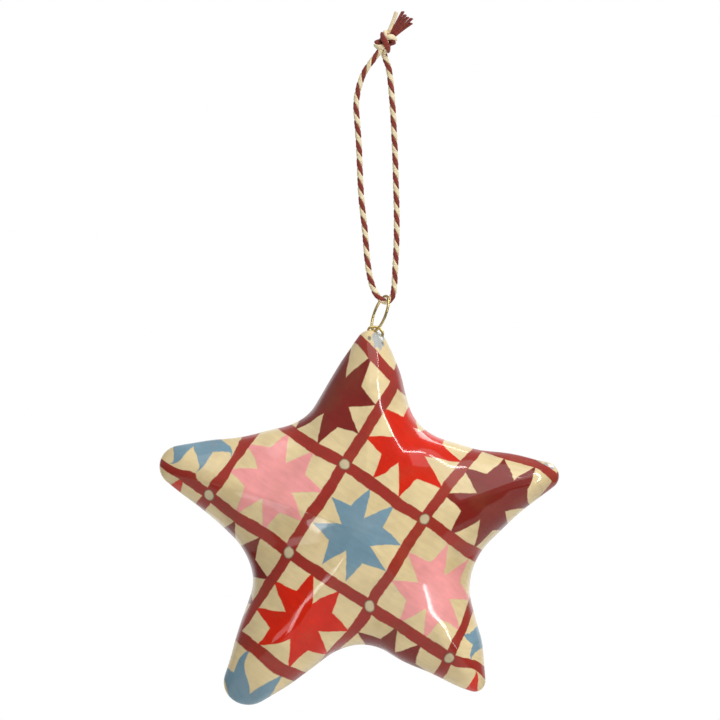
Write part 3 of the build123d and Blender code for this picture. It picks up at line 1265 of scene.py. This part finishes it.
@dataclass
class WireHanger:
    """The oval ring of brass wire. Sizes in millimetres and degrees."""

    bottom: Point = (-2.2131, 0.0, -68.919)
    length: float = 9.2
    width: float = 5.2
    lean: float = 20.5
    turn: float = 57.0
    wire_radius: float = 0.35
    unevenness: float = 0.03
    waves: int = 5
    wave_start: float = 1.0
    sides: int = 14
    steps: int = 120

    def build(self, material: Material) -> Piece:
        """Makes the ring and puts it on its body.

        Args:
            material: The brass finish.

        Returns:
            The ring.
        """
        up, level = leaning(self.lean)
        turn = math.radians(self.turn)
        side = level * math.cos(turn) + FRONT * math.sin(turn)
        middle = np.array(self.bottom) + up * self.length / 2
        angles = np.arange(self.steps) * FULL_TURN / self.steps
        oval = directions(angles) @ np.stack([up * self.length / 2, side * self.width / 2])
        line = Line3((middle + oval) * MILLIMETRE, closed=True)
        swell = 1 + self.unevenness * np.sin(self.waves * angles + self.wave_start)
        flat = round_sections(self.wire_radius * MILLIMETRE * swell, self.sides)
        draft = MeshDraft("hanger_ring_wire")
        draft.add_tube(line.sections(flat), line.along / MILLIMETRE, 0, True)
        ring = draft.finish([material])
        place_piece(ring, Body.RING, "brass_wire", "hanger_ring")
        return ring


@dataclass
class TwineHanger:
    """The loop of two-ply twine, its knot and its two cut tails. Sizes in millimetres and degrees."""

    finishes: Tuple[Material, Material]
    diameter: float = 1.45
    pitch: float = 4.75
    first_turn: float = 40.0
    ply_offset: float = 0.33
    ply_depth: float = 0.4
    ply_half_width: float = 0.62
    ply_sides: int = 14
    swells: Tuple[Span, ...] = ((0.03, 1.9), (0.02, 5.3))
    resolution: int = 22
    route: Tuple[Point, ...] = (
        (-0.2, -0.85, 1.6),
        (-2.3, -0.7, -1.1),
        (-4.6, -0.4, -4.2),
        (-6.0, -0.2, -8.0),
        (-6.7, 0.0, -12.2),
        (-6.3, 0.0, -17.2),
        (-5.8, 0.0, -23.8),
        (-5.6, 0.0, -30.8),
        (-5.2, 0.0, -37.2),
        (-4.3, 0.0, -44.5),
        (-3.9, 0.0, -50.8),
        (-3.2, -0.1, -55.5),
        (-2.1, -0.5, -59.2),
        (-0.35, -0.6, -61.3),
        (1.35, 0.6, -61.9),
        (2.7, 0.7, -60.2),
        (3.0, 0.5, -57.2),
        (3.2, 0.3, -53.2),
        (3.5, 0.1, -47.2),
        (3.6, 0.0, -40.8),
        (3.4, 0.0, -33.8),
        (3.2, 0.0, -26.2),
        (2.9, 0.1, -19.2),
        (2.5, 0.2, -12.2),
        (2.0, 0.4, -6.2),
        (1.5, 0.6, -2.8),
        (0.5, 0.75, -0.5),
        (0.2, 0.85, 1.6),
    )
    knot_centre: Point = (0.7, 0.0, 3.2)
    knot_lean: float = 36.0
    knot_reach: float = 1.25
    knot_swell: float = 0.42
    knot_half_length: float = 1.8
    knot_first_turn: float = 90.0
    knot_turns: int = 3
    knot_waves: int = 2
    knot_twists: int = 4
    knot_first_twist: float = 180.0
    knot_fullness: float = 1.2
    knot_steps: int = 240
    tail_start: float = 1.2
    tail_steps: int = 26
    cream_lean: float = 20.0
    cream_length: float = 8.0
    cream_strands: int = 5
    cream_bundle: float = 0.24
    cream_splay: float = 1.2
    cream_unevenness: float = 0.12
    cream_beat: float = 2.3
    cream_aside: float = -0.35
    cream_sway: float = 0.12
    cream_radii: Span = (0.3, 0.36)
    cream_sides: int = 9
    burgundy_lean: float = 42.0
    burgundy_length: float = 8.6
    burgundy_fan: float = 24.0
    burgundy_strands: int = 15
    burgundy_fingers: int = 5
    burgundy_splay: float = 1.4
    burgundy_step: float = 0.15
    burgundy_aside: float = 0.2
    finger_unevenness: float = 0.5
    finger_beat: float = 2.7
    finger_start: float = 0.6
    strand_depth: float = 0.3
    strand_depth_beat: float = 1.9
    strand_sway: float = 0.1
    strand_sway_beat: float = 3.1
    burgundy_radii: Span = (0.26, 0.2)
    burgundy_sides: int = 8

    def build(self) -> List[Piece]:
        """Returns:
            The loop, the knot and the two tails.
        """
        loop, line = self.build_loop()
        knot = self.build_knot()
        cream_tail = self.build_cream_tail()
        burgundy_tail = self.build_burgundy_tail()
        pieces = [loop, knot, cream_tail, burgundy_tail]
        nodes = ("twine_loop", "twine_knot", "cream_tail", "burgundy_tail")
        slots = ("twine", "twine", "cream_ply", "burgundy_ply")
        for piece, node, slot in zip(pieces, nodes, slots):
            place_piece(piece, Body.TWINE, slot, node)
        return pieces

    def build_loop(self) -> Tuple[Piece, Line3]:
        """Makes the loop as two plies that wind round each other.

        Returns:
            The loop, and the line that it follows.
        """
        line = Line3(spline_points("twine_line", self.route, self.resolution))
        along = line.along / MILLIMETRE
        (slow, slow_beat), (quick, quick_beat) = self.swells
        draft = MeshDraft("twine_plies")
        for ply in Ply:
            turn = math.radians(self.first_turn) + ply.value * math.pi - FULL_TURN * along / self.pitch
            swell = 1 + slow * np.sin(along * slow_beat + ply.value) + quick * np.sin(along * quick_beat)
            flat = self.ply_sections(turn) * swell[:, None, None]
            draft.add_tube(line.sections(flat), along, ply.value)
        return draft.finish(self.finishes), line

    def ply_sections(self, turn: np.ndarray) -> np.ndarray:
        """Flattened sections of one ply that winds round the twine's middle line.

        Args:
            turn: Angle of the ply about the middle line at each section.

        Returns:
            Sections by points by 2, in metres.
        """
        around = np.arange(self.ply_sides) * FULL_TURN / self.ply_sides
        out = self.ply_offset + self.ply_depth * np.cos(around)
        side = self.ply_half_width * np.sin(around)
        outward = directions(turn)[:, None, :]
        sideways = directions(turn + math.pi / 2)[:, None, :]
        return (outward * out[None, :, None] + sideways * side[None, :, None]) * MILLIMETRE

    def build_knot(self) -> Piece:
        """Makes the knot, an overhand knot pulled tight, from the same two plies.

        Returns:
            The knot.
        """
        along, right = leaning(self.knot_lean)
        shares = np.arange(self.knot_steps) * FULL_TURN / self.knot_steps
        beat = self.knot_waves * shares
        reach = self.knot_reach + self.knot_swell * np.cos(beat)
        turn = self.knot_turns * shares + math.radians(self.knot_first_turn)
        route = reach[:, None] * (directions(turn) @ np.stack([right, FRONT]))
        route = route + (self.knot_half_length * np.sin(beat))[:, None] * along
        line = Line3((np.array(self.knot_centre) + route) * MILLIMETRE, closed=True)
        draft = MeshDraft("twine_knot_wraps")
        for ply in Ply:
            twist = math.radians(self.knot_first_twist) + ply.value * math.pi - self.knot_twists * shares
            flat = self.ply_sections(twist) * self.knot_fullness
            draft.add_tube(line.sections(flat), line.along / MILLIMETRE, ply.value, True)
        return draft.finish(self.finishes)

    def tail_line(self, lean: float, length: float, aside: float, depth: float, sway: float) -> Line3:
        """Line of one tail strand out of the knot.

        Args:
            lean: Its lean to the right.
            length: Its length from the knot's centre.
            aside: How far to the side it starts.
            depth: How far to the front it ends.
            sway: How far it bows to the side.

        Returns:
            The line in metres.
        """
        ahead, side = leaning(lean)
        shares = np.linspace(0, 1, self.tail_steps)[:, None]
        reach = self.tail_start + (length - self.tail_start) * shares
        sideways = aside * (1 - shares) ** 2 + sway * np.sin(shares * math.pi)
        points = np.array(self.knot_centre) + ahead * reach + side * sideways + FRONT * depth * shares
        return Line3(points * MILLIMETRE)

    def add_strand(self, draft: MeshDraft, line: Line3, ply: Ply, radii: Span, sides: int) -> None:
        """Adds one round strand to a tail.

        Args:
            draft: The tail's draft.
            line: Line of the strand.
            ply: The ply that it belongs to.
            radii: Its radius at the knot and at its end.
            sides: Points in each section.
        """
        thickness = np.linspace(*radii, len(line.points)) * MILLIMETRE
        flat = round_sections(thickness, sides)
        draft.add_tube(line.sections(flat), line.along / MILLIMETRE, ply.value)

    def build_cream_tail(self) -> Piece:
        """Makes the cream tail as a few strands that lie close together.

        Returns:
            The cream tail.
        """
        draft = MeshDraft("cream_tail_ply")
        for strand in range(self.cream_strands):
            side, depth = directions(FULL_TURN * strand / self.cream_strands)
            line = self.tail_line(
                self.cream_lean + self.cream_splay * side,
                self.cream_length + self.cream_unevenness * math.sin(self.cream_beat * strand),
                self.cream_bundle * side + self.cream_aside,
                self.cream_bundle * depth,
                self.cream_sway,
            )
            self.add_strand(draft, line, Ply.CREAM, self.cream_radii, self.cream_sides)
        return draft.finish(self.finishes)

    def build_burgundy_tail(self) -> Piece:
        """Makes the burgundy tail as a fan of strands that end in a few fingers.

        Returns:
            The burgundy tail.
        """
        draft = MeshDraft("burgundy_tail_ply")
        per_finger = self.burgundy_strands // self.burgundy_fingers
        for strand in range(self.burgundy_strands):
            finger = strand // per_finger
            within = strand % per_finger - (per_finger - 1) / 2
            spread = finger / (self.burgundy_fingers - 1) - 0.5
            uneven = self.finger_unevenness * math.sin(self.finger_beat * finger + self.finger_start)
            line = self.tail_line(
                self.burgundy_lean + self.burgundy_fan * spread + self.burgundy_splay * within,
                self.burgundy_length + uneven + self.burgundy_step * within,
                self.burgundy_aside * (spread + 1),
                self.strand_depth * math.sin(self.strand_depth_beat * strand),
                self.strand_sway * math.sin(self.strand_sway_beat * strand),
            )
            self.add_strand(draft, line, Ply.BURGUNDY, self.burgundy_radii, self.burgundy_sides)
        return draft.finish(self.finishes)


@dataclass(frozen=True)
class Lamp:
    """A soft lamp. Sizes in metres, power in watts."""

    name: str
    place: Point
    width: float
    height: float
    power: float

    def build(self, target: Point) -> None:
        """Adds the lamp, facing a place.

        Args:
            target: The place.
        """
        data = bpy.data.lights.new(self.name, "AREA")
        data.shape = "RECTANGLE"
        data.size = self.width
        data.size_y = self.height
        data.energy = self.power
        lamp = add_to_scene(self.name, data)
        lamp.location = self.place
        aim = np.array(target) - np.array(self.place)
        flat = math.hypot(aim[0], aim[1])
        lamp.rotation_euler = (math.atan2(flat, -aim[2]), 0.0, math.atan2(-aim[0], aim[1]))


@dataclass
class Studio:
    """Camera, lights, floor and the white surround. Sizes in metres."""

    camera_x: float = -0.005625
    camera_z: float = -0.07625
    camera_distance: float = 1.6
    view_width: float = 0.18
    sensor_width: float = 36.0
    floor_z: float = -0.55
    floor_radius: float = 0.9
    floor_sides: int = 96
    floor_colour: Colour = (238, 237, 234)
    floor_cloud: float = 6.0
    floor_cloud_share: float = 0.06
    floor_roughness: float = 0.9
    surround_above: float = 0.4
    surround_below: float = 0.05
    overhead_limits: Span = (-0.6, 0.6)
    backdrop_limits: Span = (0.35, 0.95)
    lamp_target: Point = (-0.005625, 0.0, -0.115)
    lamps: Tuple[Lamp, ...] = (
        Lamp("key_lamp", (0.25, -0.75, 1.3), 1.4, 1.4, 11.5),
        Lamp("window_lamp", (0.92, -0.77, 0.5), 0.055, 1.7, 8.6),
        Lamp("back_lamp", (0.6, 0.6, 0.7), 0.4, 0.4, 3.0),
        Lamp("low_lamp", (-0.26, -0.87, -0.41), 0.11, 0.2, 0.5),
        Lamp("low_strip", (-0.44, -0.8, -0.37), 0.5, 0.12, 0.55),
    )

    def build(self) -> None:
        """Sets up everything round the object."""
        scene = bpy.context.scene
        scene.view_settings.view_transform = "Standard"
        self.build_camera(scene)
        self.build_surround(scene)
        self.build_floor()
        for lamp in self.lamps:
            lamp.build(self.lamp_target)

    def build_camera(self, scene: bpy.types.Scene) -> None:
        """Adds the camera, square to the star's front.

        Args:
            scene: The scene that it is for.
        """
        data = bpy.data.cameras.new("camera")
        data.sensor_width = self.sensor_width
        data.lens = self.sensor_width * self.camera_distance / self.view_width
        camera = add_to_scene("camera", data)
        camera.location = (self.camera_x, -self.camera_distance, self.camera_z)
        camera.rotation_euler = (math.pi / 2, 0.0, 0.0)
        scene.camera = camera

    def build_surround(self, scene: bpy.types.Scene) -> None:
        """Makes a surround that looks white, lights from above, and mirrors white only at the back.

        Args:
            scene: The scene that it is for.
        """
        world = bpy.data.worlds.new("studio_surround")
        world.use_nodes = True
        sheet = NodeSheet(world.node_tree)
        rays = sheet.add("ShaderNodeLightPath").outputs
        direction = sheet.add("ShaderNodeTexCoord").outputs["Generated"]
        parts = sheet.add("ShaderNodeSeparateXYZ", {0: direction})
        behind = sheet.step(parts.outputs[1], *self.backdrop_limits)
        mirrored = sheet.math("MAXIMUM", rays["Is Glossy Ray"], rays["Is Transmission Ray"])
        mirrored = sheet.math("MULTIPLY", mirrored, behind)
        seen = sheet.math("MAXIMUM", rays["Is Camera Ray"], mirrored)
        overhead = sheet.step(parts.outputs[2], *self.overhead_limits)
        rise = self.surround_above - self.surround_below
        light = sheet.math("MULTIPLY_ADD", overhead, rise, self.surround_below)
        backdrop = world.node_tree.nodes["Background"]
        backdrop.inputs[0].default_value = WHITE
        sheet.feed(sheet.math("MAXIMUM", seen, light), backdrop.inputs[1])
        scene.world = world

    def build_floor(self) -> None:
        """Adds the pale floor below the hanging star."""
        mesh = bpy.data.meshes.new("studio_floor")
        form = bmesh.new()
        bmesh.ops.create_circle(form, cap_ends=True, radius=self.floor_radius, segments=self.floor_sides)
        form.to_mesh(mesh)
        form.free()
        floor = add_to_scene("studio_floor", mesh)
        floor.location = (0.0, 0.0, self.floor_z)
        material, sheet, shader = new_material("studio_floor")
        place = sheet.add("ShaderNodeTexCoord").outputs["Object"]
        cloud = sheet.noise(place, self.floor_cloud, Grain.SOFT)
        cloud = sheet.math("MULTIPLY", cloud, self.floor_cloud_share)
        tone = sheet.mix(cloud, linear(self.floor_colour), WHITE)
        sheet.feed(tone, shader.inputs["Base Color"])
        shader.inputs["Roughness"].default_value = self.floor_roughness
        mesh.materials.append(material)


def dress_node(node: str, material: Material) -> None:
    """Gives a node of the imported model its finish.

    Args:
        node: The node's name.
        material: The finish.
    """
    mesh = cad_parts[node].data
    mesh.materials.clear()
    mesh.materials.append(material)


WIRE_WEAR = Wear(patch=900.0, amount=0.55, polish=0.2, bump=0.4, depth=0.00005)
PULP_WEAR = Wear(patch=420.0, amount=0.6, polish=0.75, bump=0.6, depth=0.0002)

# Each ply's second colour is painted shade for the grooves between its fibres.
CREAM_COTTON = PlyFinish("cream_cotton", (250, 234, 194), (216, 186, 130))
BURGUNDY_COTTON = PlyFinish("burgundy_cotton", (144, 50, 36), (86, 27, 20))
BRASS_WIRE = PlainFinish("brass_wire", (216, 192, 130), (104, 84, 46), WIRE_WEAR, metallic=1.0)
BARE_PAPER = PlainFinish("bare_paper", (186, 172, 140), (140, 122, 88), PULP_WEAR)
FILLER_PASTE = PlainFinish("filler_paste", (212, 204, 184), (168, 160, 140), PULP_WEAR)


def main() -> None:
    """Builds the pieces in order and reports them."""
    logging.basicConfig(level=logging.INFO, format="%(message)s")
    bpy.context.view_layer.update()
    Studio().build()
    effects = SharedEffects()
    cotton = (CREAM_COTTON.make(effects), BURGUNDY_COTTON.make(effects))
    pieces = TwineHanger(cotton).build()
    brass = BRASS_WIRE.make(effects)
    pieces.append(WireHanger().build(brass))
    dress_node("wire_eye", brass)
    dress_node("seam_band", BARE_PAPER.make(effects))
    dress_node("nose_plug", FILLER_PASTE.make(effects))
    pieces.append(PaperStar().dress(QuiltPaint().make(effects)))
    for piece in pieces:
        log.info("built %s", piece.name)


if __name__ == "__main__":
    main()
